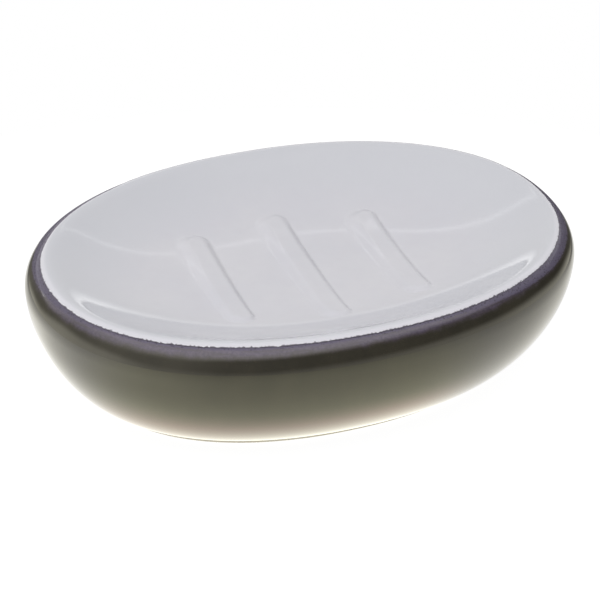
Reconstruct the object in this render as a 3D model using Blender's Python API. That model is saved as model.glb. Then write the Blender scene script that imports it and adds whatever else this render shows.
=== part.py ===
"""Soap dish: a slip-cast ceramic shell with a shallow ribbed basin.

The shell is hollow underneath and open through its foot ring. A white glaze covers the
basin and the crest of the rim, a dark glaze covers the outside, and the two meet just
below the crest.
Four silicone pads sit in pockets under the foot ring.

Units are metres and +Z is up. The origin is the middle of the plane that the pads rest on.
The long axis runs along X, and the ribs run across the dish, along Y.
"""
import math

import bmesh
import bpy
from mathutils import Vector
from mathutils.geometry import delaunay_2d_cdt

MM = 0.001

# Outline seen from above: every level ring is a superellipse
LENGTH = 140.0 * MM
WIDTH = 104.0 * MM
PLAN_EXPONENT = 2.15

# Outside section: a small roll at the rim's crest, then a round shoulder out to the belly,
# which is the widest line. The glazes meet where the roll passes into the shoulder, and
# the surface is tilted by SEAM_TILT there.
RIM_HEIGHT = 36.0 * MM
CREST_RADIUS = 2.5 * MM
RIM_RADIUS = 8.6 * MM
SEAM_TILT = math.radians(32.0)

# Below the belly one Bezier curve tucks in underneath: it leaves the belly upright and
# would meet the table at FOOT_SLOPE
TUCK_INSET = 17.4 * MM
FOOT_SLOPE = math.radians(25.0)
BELLY_HANDLE = 8.4 * MM
FOOT_HANDLE = 12.5 * MM

# Basin
BASIN_DEPTH = 10.4 * MM
BASIN_FLATNESS = 3.3
SHOULDER_RADIUS = 1.4 * MM

# Soap ribs: a flat crest between two flanks, sinking into the floor towards both ends. A
# higher taper keeps them level for longer.
RIB_PITCH = 23.0 * MM
RIB_HEIGHT = 0.9 * MM
RIB_CREST_WIDTH = 3.8 * MM
RIB_FLANK = 1.7 * MM
RIB_TAPER = 4.0
MIDDLE_RIB_LENGTH = 52.0 * MM
OUTER_RIB_LENGTH = 42.0 * MM

# Material thicknesses and the clearance left wherever two pieces meet
WALL = 4.2 * MM
GLAZE = 0.5 * MM
SEAT_GAP = 0.3 * MM

# Foot ring, left bare below the glaze line
PAD_STAND = 0.3 * MM
BARE_FOOT_HEIGHT = 0.7 * MM
FOOT_SETBACK = 0.2 * MM
FOOT_WIDTH = 9.0 * MM
FOOT_LIP = 3.5 * MM
FOOT_CHAMFER = 0.2 * MM
CAVITY_CORNER = 5.0 * MM

# Anti-slip pads
PAD_DIAMETER = 6.0 * MM
PAD_THICKNESS = 1.0 * MM
PAD_CHAMFER = 0.2 * MM
PAD_ANGLE = math.radians(40.0)

# Sizes worked out from the ones above
HALF_LENGTH = LENGTH / 2
HALF_WIDTH = WIDTH / 2
CREST_INSET = RIM_RADIUS * (1 - math.sin(SEAM_TILT)) + CREST_RADIUS * math.sin(SEAM_TILT)
CREST_DROP = CREST_RADIUS * (1 - math.cos(SEAM_TILT))
BELLY_HEIGHT = RIM_HEIGHT - CREST_DROP - RIM_RADIUS * math.cos(SEAM_TILT)
BASIN_HALF_LENGTH = HALF_LENGTH - CREST_INSET
BASIN_HALF_WIDTH = HALF_WIDTH - CREST_INSET
RIB_WIDTH = RIB_CREST_WIDTH + 2 * RIB_FLANK
CLAY_DROP = GLAZE + SEAT_GAP
GLAZE_LINE = PAD_STAND + BARE_FOOT_HEIGHT
FOOT_EDGE = min(FOOT_CHAMFER, (BARE_FOOT_HEIGHT - SEAT_GAP) / 2)
POCKET_TOP = PAD_THICKNESS + SEAT_GAP
POCKET_RADIUS = PAD_DIAMETER / 2 + SEAT_GAP

# How finely the curves are divided
RING_POINTS = 60
CREST_STEPS = 2
RIM_STEPS = 6
TUCK_STEPS = 9
CURVE_SAMPLES = 400
SHOULDER_STEPS = 5
SHOULDER_CROWDING = 1.5
ROOF_STEPS = 6
CORNER_STEPS = 3
PAD_SIDES = 24
SHARP_ANGLE = math.radians(35.0)

# The ribs stand on the part of the basin inside this share of its half sizes
FLOOR_SHARE = 0.8
FLOOR_RING_SHARES = (0.66, 0.5, 0.33, 0.16)
RIB_BORDER = 0.75
FLANK_CONTOURS = (0.0, 0.5, 1.0)
RIB_STATIONS = 8
RIB_END_POINTS = 5
FLOOR_MARGIN = 0.04


def power(value, exponent):
    """Raise the size of a value to a power and keep its sign."""
    return math.copysign(abs(value) ** exponent, value)


def ring_point(half_length, half_width, angle):
    """One point of a superellipse in plan."""
    x = half_length * power(math.cos(angle), 2 / PLAN_EXPONENT)
    y = half_width * power(math.sin(angle), 2 / PLAN_EXPONENT)
    return x, y


def ring(half_length, half_width, height, count=RING_POINTS):
    """A level ring of points, counter-clockwise from +X."""
    points = []
    for step in range(count):
        x, y = ring_point(half_length, half_width, 2 * math.pi * step / count)
        points.append(Vector((x, y, height)))
    return points


def inset_ring(inset, height):
    """A ring set in from the belly line by the same amount at its ends and its sides."""
    return ring(HALF_LENGTH - inset, HALF_WIDTH - inset, height)


def even_points(curve, steps):
    """Points of curve(0) to curve(1) that lie evenly along its length."""
    samples = [Vector(curve(i / CURVE_SAMPLES)) for i in range(CURVE_SAMPLES + 1)]
    lengths = [0.0]
    for before, after in zip(samples, samples[1:]):
        lengths.append(lengths[-1] + (after - before).length)
    points = []
    index = 0
    for step in range(steps + 1):
        target = lengths[-1] * step / steps
        while index < CURVE_SAMPLES and lengths[index] < target - 1e-12:
            index += 1
        points.append(samples[index])
    return points


def crest_arc():
    """Outside section from the crest to the white glaze's end, as (inset, height) points."""
    last_tilt = SEAM_TILT - SEAT_GAP / 2 / CREST_RADIUS
    points = []
    for step in range(CREST_STEPS + 1):
        tilt = last_tilt * step / CREST_STEPS
        inset = CREST_INSET - CREST_RADIUS * math.sin(tilt)
        points.append(Vector((inset, RIM_HEIGHT - CREST_RADIUS * (1 - math.cos(tilt)))))
    return points


def rim_arc():
    """Outside section from the dark glaze's start to the belly."""
    first_tilt = SEAM_TILT + SEAT_GAP / 2 / RIM_RADIUS
    points = []
    for step in range(RIM_STEPS + 1):
        tilt = first_tilt + (math.pi / 2 - first_tilt) * step / RIM_STEPS
        inset = RIM_RADIUS * (1 - math.sin(tilt))
        points.append(Vector((inset, BELLY_HEIGHT + RIM_RADIUS * math.cos(tilt))))
    return points


def tuck_curve(share):
    """Outside section from the belly (0) down and under to the table (1)."""
    belly = Vector((0.0, BELLY_HEIGHT))
    table = Vector((TUCK_INSET, 0.0))
    above = belly - Vector((0.0, BELLY_HANDLE))
    below = table + FOOT_HANDLE * Vector((-math.cos(FOOT_SLOPE), math.sin(FOOT_SLOPE)))
    middle = above.lerp(below, share)
    first = belly.lerp(above, share).lerp(middle, share)
    last = middle.lerp(below.lerp(table, share), share)
    return first.lerp(last, share)


def outside_section():
    """The glazed outside from the crest to the table, as (inset, height) points.

    The first CREST_STEPS + 1 points are on the white glaze and the rest on the dark one.
    """
    return crest_arc() + rim_arc() + even_points(tuck_curve, TUCK_STEPS)[1:]


def offset_section(section, distance):
    """Move a section into the body by a distance square to itself."""
    moved = []
    for index, point in enumerate(section):
        before = section[max(index - 1, 0)]
        after = section[min(index + 1, len(section) - 1)]
        along = (after - before).normalized()
        if index == 0:
            along = Vector((-1.0, 0.0))
        moved.append(point + distance * Vector((-along.y, along.x)))
    return moved


def cut_section(section, height):
    """Keep the part of a falling section above a height, ending exactly on it."""
    kept = [section[0]]
    for before, after in zip(section, section[1:]):
        if after.y <= height:
            share = (before.y - height) / (before.y - after.y)
            kept.append(before.lerp(after, share))
            return kept
        kept.append(after)
    return kept


def basin_share(x, y):
    """0 in the middle of the basin and 1 on the crest."""
    along = abs(x / BASIN_HALF_LENGTH) ** PLAN_EXPONENT
    across = abs(y / BASIN_HALF_WIDTH) ** PLAN_EXPONENT
    return (along + across) ** (1 / PLAN_EXPONENT)


def basin_height(share):
    """Height of the glazed basin: a flat floor, steep sides and a rounded shoulder."""
    shoulder = SHOULDER_RADIUS / BASIN_HALF_WIDTH
    inwards = math.hypot(1 - share, shoulder) - shoulder
    inwards /= math.hypot(1, shoulder) - shoulder
    return RIM_HEIGHT - BASIN_DEPTH * (1 - (1 - inwards) ** BASIN_FLATNESS)


def rib_spines():
    """Each rib's place along X and half the length of its straight crest."""
    blend = RIB_WIDTH / 2
    return [
        (-RIB_PITCH, OUTER_RIB_LENGTH / 2 - blend),
        (0.0, MIDDLE_RIB_LENGTH / 2 - blend),
        (RIB_PITCH, OUTER_RIB_LENGTH / 2 - blend),
    ]


def rib_rise(x, y):
    """How far the ribs lift the basin at a point."""
    rise = 0.0
    for centre, reach in rib_spines():
        away = math.hypot(x - centre, max(abs(y) - reach, 0.0))
        down = min(max((away - RIB_CREST_WIDTH / 2) / RIB_FLANK, 0.0), 1.0)
        along = min(abs(y) / (reach + RIB_WIDTH / 2), 1.0)
        level = RIB_HEIGHT * (1 - along ** RIB_TAPER)
        rise = max(rise, level * (1 + math.cos(math.pi * down)) / 2)
    return rise


def rib_plan():
    """Plan points of the ribs: their crests and the contours around them."""
    points = []
    for centre, reach in rib_spines():
        stations = [reach * (2 * i / RIB_STATIONS - 1) for i in range(RIB_STATIONS + 1)]
        points += [(centre, y) for y in stations]
        for share in FLANK_CONTOURS:
            radius = RIB_CREST_WIDTH / 2 + share * RIB_FLANK
            for side in (-1, 1):
                points += [(centre + side * radius, y) for y in stations]
                for step in range(1, RIB_END_POINTS + 1):
                    angle = math.pi * step / (RIB_END_POINTS + 1)
                    x = centre + radius * math.cos(angle)
                    points.append((x, side * (reach + radius * math.sin(angle))))
    return points


def near_a_rib(x, y):
    """Whether a plan point lies on a rib or right beside it."""
    for centre, reach in rib_spines():
        if math.hypot(x - centre, max(abs(y) - reach, 0.0)) < RIB_BORDER * RIB_WIDTH:
            return True
    return False


def floor_plan():
    """Triangulate the basin's floor in plan.

    The first RING_POINTS points are the ring at FLOOR_SHARE, in order.
    """
    border = ring(BASIN_HALF_LENGTH * FLOOR_SHARE, BASIN_HALF_WIDTH * FLOOR_SHARE, 0.0)
    points = [(point.x, point.y) for point in border]
    for share in FLOOR_RING_SHARES:
        count = round(RING_POINTS * share)
        for point in ring(BASIN_HALF_LENGTH * share, BASIN_HALF_WIDTH * share, 0.0, count):
            if not near_a_rib(point.x, point.y):
                points.append((point.x, point.y))
    for x, y in rib_plan():
        if basin_share(x, y) < FLOOR_SHARE - FLOOR_MARGIN:
            points.append((x, y))
    edges = [(i, (i + 1) % RING_POINTS) for i in range(RING_POINTS)]
    result = delaunay_2d_cdt([Vector(point) for point in points], edges, [], 1, 1e-7, True)
    sources = [origins[0] for origins in result[3]]
    triangles = [[sources[corner] for corner in face] for face in result[2]]
    return points, triangles


def add_ring(mesh, points):
    """Add one ring's corners to a mesh."""
    return [mesh.verts.new(point) for point in points]


def bridge(mesh, first, second):
    """Join two rings of corners with a band of faces."""
    count = len(first)
    for i in range(count):
        j = (i + 1) % count
        mesh.faces.new((first[i], first[j], second[j], second[i]))


def loft(mesh, rings):
    """Skin a run of rings and return their corners."""
    corners = [add_ring(mesh, points) for points in rings]
    for first, second in zip(corners, corners[1:]):
        bridge(mesh, first, second)
    return corners


def close_with_point(mesh, corners, point):
    """Close a ring with a fan of faces round one point."""
    middle = mesh.verts.new(point)
    for i in range(len(corners)):
        mesh.faces.new((corners[i], corners[(i + 1) % len(corners)], middle))


def close_with_floor(mesh, corners, plan, drop):
    """Close the ring at FLOOR_SHARE with the ribbed floor, lowered by drop."""
    points, triangles = plan
    verts = list(corners)
    for x, y in points[RING_POINTS:]:
        height = basin_height(basin_share(x, y)) + rib_rise(x, y) - drop
        verts.append(mesh.verts.new((x, y, height)))
    for triangle in triangles:
        mesh.faces.new([verts[corner] for corner in triangle])


def basin_ring(share, drop):
    """A ring of the basin, lowered by drop."""
    height = basin_height(share) - drop
    return ring(BASIN_HALF_LENGTH * share, BASIN_HALF_WIDTH * share, height)


def shoulder_rings(drop):
    """The basin's rings from just inside the crest down to the ribbed floor."""
    rings = []
    for step in range(1, SHOULDER_STEPS + 1):
        share = 1 - (1 - FLOOR_SHARE) * (step / SHOULDER_STEPS) ** SHOULDER_CROWDING
        rings.append(basin_ring(share, drop))
    return rings


def cavity_rings():
    """The hollow's rings, from the foot ring's inner edge up its wall and over its roof."""
    foot_inset = foot_outer_inset() + FOOT_WIDTH
    rings = [
        inset_ring(foot_inset - FOOT_EDGE, PAD_STAND),
        inset_ring(foot_inset, PAD_STAND + FOOT_EDGE),
        inset_ring(foot_inset, PAD_STAND + FOOT_LIP),
    ]
    thickness = CLAY_DROP + WALL
    wall = offset_section(outside_section(), thickness)
    roof_share = 1 - (thickness + 2 * CAVITY_CORNER) / BASIN_HALF_LENGTH
    roof_height = basin_height(roof_share) - thickness
    corner_foot = roof_height - CAVITY_CORNER
    wall_points = [p for p in wall if foot_inset > p.x and PAD_STAND + FOOT_LIP < p.y < corner_foot]
    wall_points.sort(key=lambda point: point.y)
    rings += [inset_ring(point.x, point.y) for point in wall_points]
    last = wall_points[-1]
    roof_length = BASIN_HALF_LENGTH * roof_share
    roof_width = BASIN_HALF_WIDTH * roof_share
    for step in range(1, CORNER_STEPS + 1):
        angle = math.pi / 2 * step / CORNER_STEPS
        inwards = 1 - math.cos(angle)
        length = (HALF_LENGTH - last.x) * (1 - inwards) + roof_length * inwards
        width = (HALF_WIDTH - last.x) * (1 - inwards) + roof_width * inwards
        height = last.y + (roof_height - last.y) * math.sin(angle)
        rings.append(ring(length, width, height))
    for step in range(1, ROOF_STEPS):
        rings.append(basin_ring(roof_share * (1 - step / ROOF_STEPS), thickness))
    return rings


def foot_outer_inset():
    """How far the foot ring's outer edge is set in from the belly."""
    return cut_section(outside_section(), GLAZE_LINE)[-1].x + FOOT_SETBACK


def clay_section():
    """The clay's outside from the crest down to the foot ring's flat underside."""
    section = offset_section(outside_section(), CLAY_DROP)
    section = cut_section(section, GLAZE_LINE + SEAT_GAP)
    foot_inset = foot_outer_inset()
    section.append(Vector((foot_inset, GLAZE_LINE - SEAT_GAP)))
    section.append(Vector((foot_inset, PAD_STAND + FOOT_EDGE)))
    section.append(Vector((foot_inset + FOOT_EDGE, PAD_STAND)))
    return section


def pad_places():
    """Each pad's name and its centre under the middle of the foot ring."""
    middle = foot_outer_inset() + FOOT_WIDTH / 2
    x, y = ring_point(HALF_LENGTH - middle, HALF_WIDTH - middle, PAD_ANGLE)
    return [
        ("pad_front_left", -x, -y),
        ("pad_front_right", x, -y),
        ("pad_rear_left", -x, y),
        ("pad_rear_right", x, y),
    ]


def make_material(name, colour, roughness):
    """A plain Principled material."""
    material = bpy.data.materials.new(name)
    material.use_nodes = True
    shader = material.node_tree.nodes["Principled BSDF"]
    shader.inputs["Base Color"].default_value = (*colour, 1.0)
    shader.inputs["Roughness"].default_value = roughness
    shader.inputs["Metallic"].default_value = 0.0
    return material


def make_object(name, mesh, material):
    """Turn a finished bmesh into a smooth-shaded object."""
    bmesh.ops.recalc_face_normals(mesh, faces=mesh.faces)
    data = bpy.data.meshes.new(name)
    mesh.to_mesh(data)
    mesh.free()
    data.shade_smooth()
    data.set_sharp_from_angle(angle=SHARP_ANGLE)
    data.materials.append(material)
    result = bpy.data.objects.new(name, data)
    bpy.context.scene.collection.objects.link(result)
    return result


def make_outer_glaze():
    """The dark glaze: a thin skin from the seam down to the glaze line."""
    outside = cut_section(outside_section(), GLAZE_LINE)
    inside = offset_section(outside, GLAZE)
    dark = outside[CREST_STEPS + 1:] + inside[:CREST_STEPS:-1]
    mesh = bmesh.new()
    rings = [inset_ring(point.x, point.y) for point in dark]
    corners = loft(mesh, rings)
    bridge(mesh, corners[-1], corners[0])
    return make_object("outer_glaze", mesh, make_material("dark_glaze", (0.035, 0.031, 0.027), 0.12))


def make_basin_glaze(plan):
    """The white glaze: a thin skin from the seam over the crest, the basin and its ribs."""
    mesh = bmesh.new()
    edges = []
    for drop in (0.0, GLAZE):
        rim = offset_section(outside_section(), drop)[CREST_STEPS::-1]
        rim_rings = [inset_ring(point.x, point.y) for point in rim]
        corners = loft(mesh, rim_rings + shoulder_rings(drop))
        close_with_floor(mesh, corners[-1], plan, drop)
        edges.append(corners[0])
    bridge(mesh, edges[0], edges[1])
    return make_object("basin_glaze", mesh, make_material("white_glaze", (0.78, 0.78, 0.80), 0.1))


def make_clay_body(plan):
    """The fired shell: basin, rim, outside wall, foot ring, hollow and roof in one piece."""
    mesh = bmesh.new()
    crest = basin_ring(1.0, CLAY_DROP)
    corners = loft(mesh, [crest] + shoulder_rings(CLAY_DROP))
    close_with_floor(mesh, corners[-1], plan, CLAY_DROP)
    outside = [inset_ring(point.x, point.y) for point in clay_section()[1:]]
    below = loft(mesh, outside + cavity_rings())
    bridge(mesh, corners[0], below[0])
    roof_height = basin_height(0.0) - CLAY_DROP - WALL
    close_with_point(mesh, below[-1], (0.0, 0.0, roof_height))
    body = make_object("clay_body", mesh, make_material("bare_clay", (0.72, 0.66, 0.55), 0.75))
    for name, x, y in pad_places():
        cut_pocket(body, name, x, y)
    return body


def cut_pocket(body, pad_name, x, y):
    """Cut the pocket that one pad is glued into."""
    mesh = bmesh.new()
    bmesh.ops.create_cone(
        mesh, cap_ends=True, segments=PAD_SIDES, depth=2 * POCKET_TOP,
        radius1=POCKET_RADIUS, radius2=POCKET_RADIUS,
    )
    data = bpy.data.meshes.new(pad_name + "_pocket")
    mesh.to_mesh(data)
    mesh.free()
    cutter = bpy.data.objects.new(pad_name + "_pocket", data)
    cutter.location = (x, y, 0.0)
    cutter.hide_render = True
    cutter.display_type = "WIRE"
    bpy.context.scene.collection.objects.link(cutter)
    cut = body.modifiers.new(pad_name, "BOOLEAN")
    cut.operation = "DIFFERENCE"
    cut.solver = "EXACT"
    cut.object = cutter


def make_pads():
    """Four round silicone pads that the dish stands on."""
    material = make_material("silicone", (0.55, 0.55, 0.53), 0.45)
    mesh = bmesh.new()
    bmesh.ops.create_cone(
        mesh, cap_ends=True, segments=PAD_SIDES, depth=PAD_THICKNESS,
        radius1=PAD_DIAMETER / 2, radius2=PAD_DIAMETER / 2,
    )
    data = bpy.data.meshes.new("pad")
    mesh.to_mesh(data)
    mesh.free()
    data.shade_smooth()
    data.set_sharp_from_angle(angle=SHARP_ANGLE)
    for name, x, y in pad_places():
        pad = bpy.data.objects.new(name, data.copy())
        pad.data.materials.append(material.copy())
        pad.location = (x, y, PAD_THICKNESS / 2)
        bpy.context.scene.collection.objects.link(pad)
        bevel = pad.modifiers.new("rounded_edges", "BEVEL")
        bevel.width = PAD_CHAMFER
        bevel.segments = 1
        bevel.limit_method = "ANGLE"


def main():
    for old in list(bpy.data.objects):
        bpy.data.objects.remove(old, do_unlink=True)
    plan = floor_plan()
    make_clay_body(plan)
    make_basin_glaze(plan)
    make_outer_glaze()
    make_pads()


main()
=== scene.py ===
"""Soap dish: an oval slip-cast dish, white glaze in the basin and dark glaze outside.

Each glaze and the clay are lofted by one Geometry Nodes tree from a section: a run of
points, each of which is one ring of the dish. The sizes follow the CAD part's, with finer
ones on the ribs, the belly and the glazes.
"""
import math

import bmesh
import bpy
from mathutils import Euler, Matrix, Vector


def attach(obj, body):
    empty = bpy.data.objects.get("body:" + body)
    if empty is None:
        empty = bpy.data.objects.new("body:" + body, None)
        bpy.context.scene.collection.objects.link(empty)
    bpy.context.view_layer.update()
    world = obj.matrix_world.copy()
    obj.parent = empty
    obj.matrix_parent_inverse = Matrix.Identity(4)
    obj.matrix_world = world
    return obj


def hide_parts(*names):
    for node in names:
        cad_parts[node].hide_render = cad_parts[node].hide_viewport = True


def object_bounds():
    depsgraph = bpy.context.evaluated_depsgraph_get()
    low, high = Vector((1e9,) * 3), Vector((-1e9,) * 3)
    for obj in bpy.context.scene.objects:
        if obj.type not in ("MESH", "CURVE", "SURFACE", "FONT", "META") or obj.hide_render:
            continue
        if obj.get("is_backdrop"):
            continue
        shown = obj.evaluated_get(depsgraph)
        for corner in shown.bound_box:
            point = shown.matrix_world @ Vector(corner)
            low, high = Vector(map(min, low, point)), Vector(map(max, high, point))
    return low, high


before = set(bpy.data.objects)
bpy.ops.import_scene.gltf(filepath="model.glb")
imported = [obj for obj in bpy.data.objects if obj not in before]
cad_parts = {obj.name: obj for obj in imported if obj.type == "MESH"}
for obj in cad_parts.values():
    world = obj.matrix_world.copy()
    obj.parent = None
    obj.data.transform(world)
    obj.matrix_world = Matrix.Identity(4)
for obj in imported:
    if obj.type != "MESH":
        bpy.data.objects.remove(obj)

MM = 0.001
CAMERA_AZIMUTH = math.radians(-20.17)
CAMERA_ELEVATION = math.radians(31.65)
CAMERA_SIDE = Vector((math.sin(CAMERA_AZIMUTH), -math.cos(CAMERA_AZIMUTH), 0.0))
CAMERA_LEFT = Vector((CAMERA_SIDE.y, -CAMERA_SIDE.x, 0.0))
UP = Vector((0.0, 0.0, 1.0))
cad_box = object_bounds()

# Outline and section of the dish
HALF_LENGTH = 70.0 * MM
HALF_WIDTH = 52.0 * MM
PLAN_EXPONENT = 2.15
RIM_HEIGHT = 36.0 * MM
CREST_RADIUS = 2.5 * MM
RIM_RADIUS = 8.6 * MM
SEAM_TILT = math.radians(32.0)
TUCK_INSET = 17.75 * MM
FOOT_SLOPE = math.radians(25.0)
BELLY_HANDLE = 9.2 * MM
FOOT_HANDLE = 12.5 * MM
CREST_INSET = RIM_RADIUS * (1 - math.sin(SEAM_TILT)) + CREST_RADIUS * math.sin(SEAM_TILT)
BELLY_HEIGHT = (RIM_HEIGHT - CREST_RADIUS * (1 - math.cos(SEAM_TILT))
                - RIM_RADIUS * math.cos(SEAM_TILT))

# Basin
BASIN_DEPTH = 10.4 * MM
BASIN_FLATNESS = 3.3
SHOULDER_RADIUS = 1.4 * MM
BASIN_HALF_LENGTH = HALF_LENGTH - CREST_INSET
BASIN_HALF_WIDTH = HALF_WIDTH - CREST_INSET

# Soap ribs, under the names that the lofting tree gives its inputs. The lean makes a rib
# higher and wider to the rear, and the step shifts the outer ribs along their length.
RIBS = {
    "Rib pitch": 22.7 * MM,
    "Rib shift": 0.2 * MM,
    "Rib step": 0.9 * MM,
    "Rib height": 1.2 * MM,
    "Rib lean": 0.22,
    "Rib crest width": 3.2 * MM,
    "Rib left flank": 3.3 * MM,
    "Rib right flank": 2.15 * MM,
    "Rib roundness": 1.5,
    "Rib taper": 7.0,
    "Rib front taper": 24.0,
    "Middle rib length": 54.5 * MM,
    "Outer rib length": 45.0 * MM,
}

# Where the seam between the glazes wanders off its line: down towards the camera's side,
# up over the rim at the far ends, further on the left. The lip slides along the crest's
# slope a chord's length back, so that a long climb stays on the crest.
SEAM_DROP = 0.22 * MM
SEAM_CLIMB = 0.8 * MM
SEAM_CHORD = 0.6 * MM

# Glaze thicknesses, foot and hollow. The dark glaze starts under the white lip and comes up
# to its full level over the dip's run. The glaze line wanders only near the foot.
WHITE_LIP = 0.12 * MM
HIDDEN_TILT = math.radians(31.0)
DIP_RUN = 8.0 * MM
WANDER_RUN = 2.5 * MM
GLAZE = 0.45 * MM
CLAY_GAP = 0.02 * MM
GLAZE_LINE = 1.4 * MM
WALL = 5.0 * MM  # the clay with both glazes
PAD_STAND = 0.3 * MM
FOOT_INSET = 15.74 * MM
FOOT_WIDTH = 9.0 * MM
FOOT_LIP = 3.5 * MM
CAVITY_CORNER = 5.0 * MM
EDGE_RADIUS = 0.25 * MM

# Pads
PAD_RADIUS = 3.0 * MM
PAD_THICKNESS = 1.0 * MM
PAD_ANGLE = math.radians(40.0)
GLUE_GAP = 0.3 * MM
SHARP_ANGLE = math.radians(50.0)


def plain_ring(half_length, half_width, height):
    """One ring of the dish: its size, its place below the seam, its share of the ribs, and
    which way it slides where the edge wanders."""
    return (half_length, half_width, height), 0.0, 0.0, (0.0, 0.0, 0.0)


def ring_by_inset(inset, height, seam=0.0, slide=(0.0, 0.0)):
    """A ring at an inset from the outline, and how it slides out and up."""
    out, up = slide
    return (HALF_LENGTH - inset, HALF_WIDTH - inset, height), seam, 0.0, (out, out, up)


def ring_by_share(share, drop, rib=1.0):
    """A ring of the basin, where share is 0 in the middle and 1 on the crest. The ribs are
    raised on the glaze's face alone."""
    shoulder = SHOULDER_RADIUS / BASIN_HALF_WIDTH
    inwards = math.hypot(1 - share, shoulder) - shoulder
    inwards /= math.hypot(1, shoulder) - shoulder
    height = RIM_HEIGHT - BASIN_DEPTH * (1 - (1 - inwards) ** BASIN_FLATNESS) - drop
    seam = (1 - share) * BASIN_HALF_WIDTH + CREST_RADIUS * SEAM_TILT
    size = (BASIN_HALF_LENGTH * share, BASIN_HALF_WIDTH * share, height)
    return size, seam, rib, (0.0, 0.0, 0.0)


def smooth(value):
    value = min(max(value, 0.0), 1.0)
    return value * value * (3 - 2 * value)


def basin_shares(fine, coarse):
    """Shares of the basin's rings from the middle out: fine over the ribs, then crowding
    towards the crest."""
    shares = [0.6 * i / fine for i in range(fine)]
    for i in range(coarse + 1):
        shares.append(1 - 0.4 * (1 - i / coarse) ** 1.6)
    return shares


def white_section():
    """From the middle of the basin out over the crest, round the lip and back underneath."""
    rings = [ring_by_share(share, 0.0) for share in basin_shares(104, 30)]

    def crest_ring(tilt, depth, past=0.0):
        radius = CREST_RADIUS - depth
        inset = CREST_INSET - radius * math.sin(tilt) - past * math.cos(tilt)
        height = RIM_HEIGHT - CREST_RADIUS + radius * math.cos(tilt) - past * math.sin(tilt)
        weight = tilt / SEAM_TILT
        along = tilt - weight * SEAM_CHORD / CREST_RADIUS
        slide = (weight * math.cos(along), -weight * math.sin(along))
        seam = CREST_RADIUS * (SEAM_TILT - tilt) - past
        return ring_by_inset(inset, height, seam, slide)

    for i in range(1, 9):
        rings.append(crest_ring(SEAM_TILT * i / 8, 0.0))
    for i in range(1, 5):
        turn = math.pi * i / 5
        rings.append(crest_ring(SEAM_TILT, WHITE_LIP / 2 * (1 - math.cos(turn)),
                                WHITE_LIP / 2 * math.sin(turn)))
    for i in range(4, -1, -1):
        rings.append(crest_ring(SEAM_TILT * i / 4, WHITE_LIP))
    for share in basin_shares(5, 6)[-2::-1]:
        drop = WHITE_LIP + (GLAZE - WHITE_LIP) * smooth((1 - share) / 0.1)
        rings.append(ring_by_share(share, drop, 0.0))
    return rings


def tuck_point(share):
    """The outside from the belly (0) down and under to the table (1), as inset and height."""
    belly = Vector((0.0, BELLY_HEIGHT))
    table = Vector((TUCK_INSET, 0.0))
    above = belly - Vector((0.0, BELLY_HANDLE))
    below = table + FOOT_HANDLE * Vector((-math.cos(FOOT_SLOPE), math.sin(FOOT_SLOPE)))
    middle = above.lerp(below, share)
    first = belly.lerp(above, share).lerp(middle, share)
    last = middle.lerp(below.lerp(table, share), share)
    return first.lerp(last, share)


def outside_points(first_tilt, last_height):
    """The outside from a tilt near the seam down to a height, each point with the
    direction into the body."""
    rim_steps, tuck_steps = 36, 80
    points = []
    for i in range(rim_steps + 1):
        tilt = first_tilt + (math.pi / 2 - first_tilt) * i / rim_steps
        inwards = Vector((math.sin(tilt), -math.cos(tilt)))
        if tilt < SEAM_TILT:
            centre = Vector((CREST_INSET, RIM_HEIGHT - CREST_RADIUS))
            points.append((centre - CREST_RADIUS * inwards, inwards))
        else:
            centre = Vector((RIM_RADIUS, BELLY_HEIGHT))
            points.append((centre - RIM_RADIUS * inwards, inwards))
    for i in range(1, tuck_steps + 1):
        here = tuck_point(i / tuck_steps)
        along = (here - tuck_point(i / tuck_steps - 0.001)).normalized()
        inwards = Vector((-along.y, along.x))
        before = points[-1][0]
        if here.y < last_height:
            share = (before.y - last_height) / (before.y - here.y)
            points.append((before.lerp(here, share), inwards))
            break
        points.append((here, inwards))
    return points


def dark_section():
    """From under the white lip down the outside, round the glaze line and back inside."""
    outside = outside_points(SEAM_TILT - HIDDEN_TILT, GLAZE_LINE + GLAZE / 4)
    rings = []
    run = -CREST_RADIUS * HIDDEN_TILT
    before = outside[0][0]
    last, last_inwards = outside[-1]
    for point, inwards in outside:
        run += (point - before).length
        before = point
        depth = 0.75 * WHITE_LIP * (1 - smooth(run / DIP_RUN))
        weight = smooth(1 - (point - last).length / WANDER_RUN)
        slide = (-weight * inwards.y, -weight * inwards.x)
        at = point + depth * inwards
        rings.append(ring_by_inset(at.x, at.y, -run, slide))
    along = Vector((last_inwards.y, -last_inwards.x))
    slide = (-last_inwards.y, -last_inwards.x)
    for i in range(1, 7):
        turn = math.pi * i / 6
        at = last + GLAZE / 2 * ((1 - math.cos(turn)) * last_inwards + math.sin(turn) * along)
        rings.append(ring_by_inset(at.x, at.y, -run, slide))
    for point, inwards in outside[-8::-6]:
        at = point + GLAZE * inwards
        rings.append(ring_by_inset(at.x, at.y, -run))
    rings.append(rings[0])
    return rings


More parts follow.
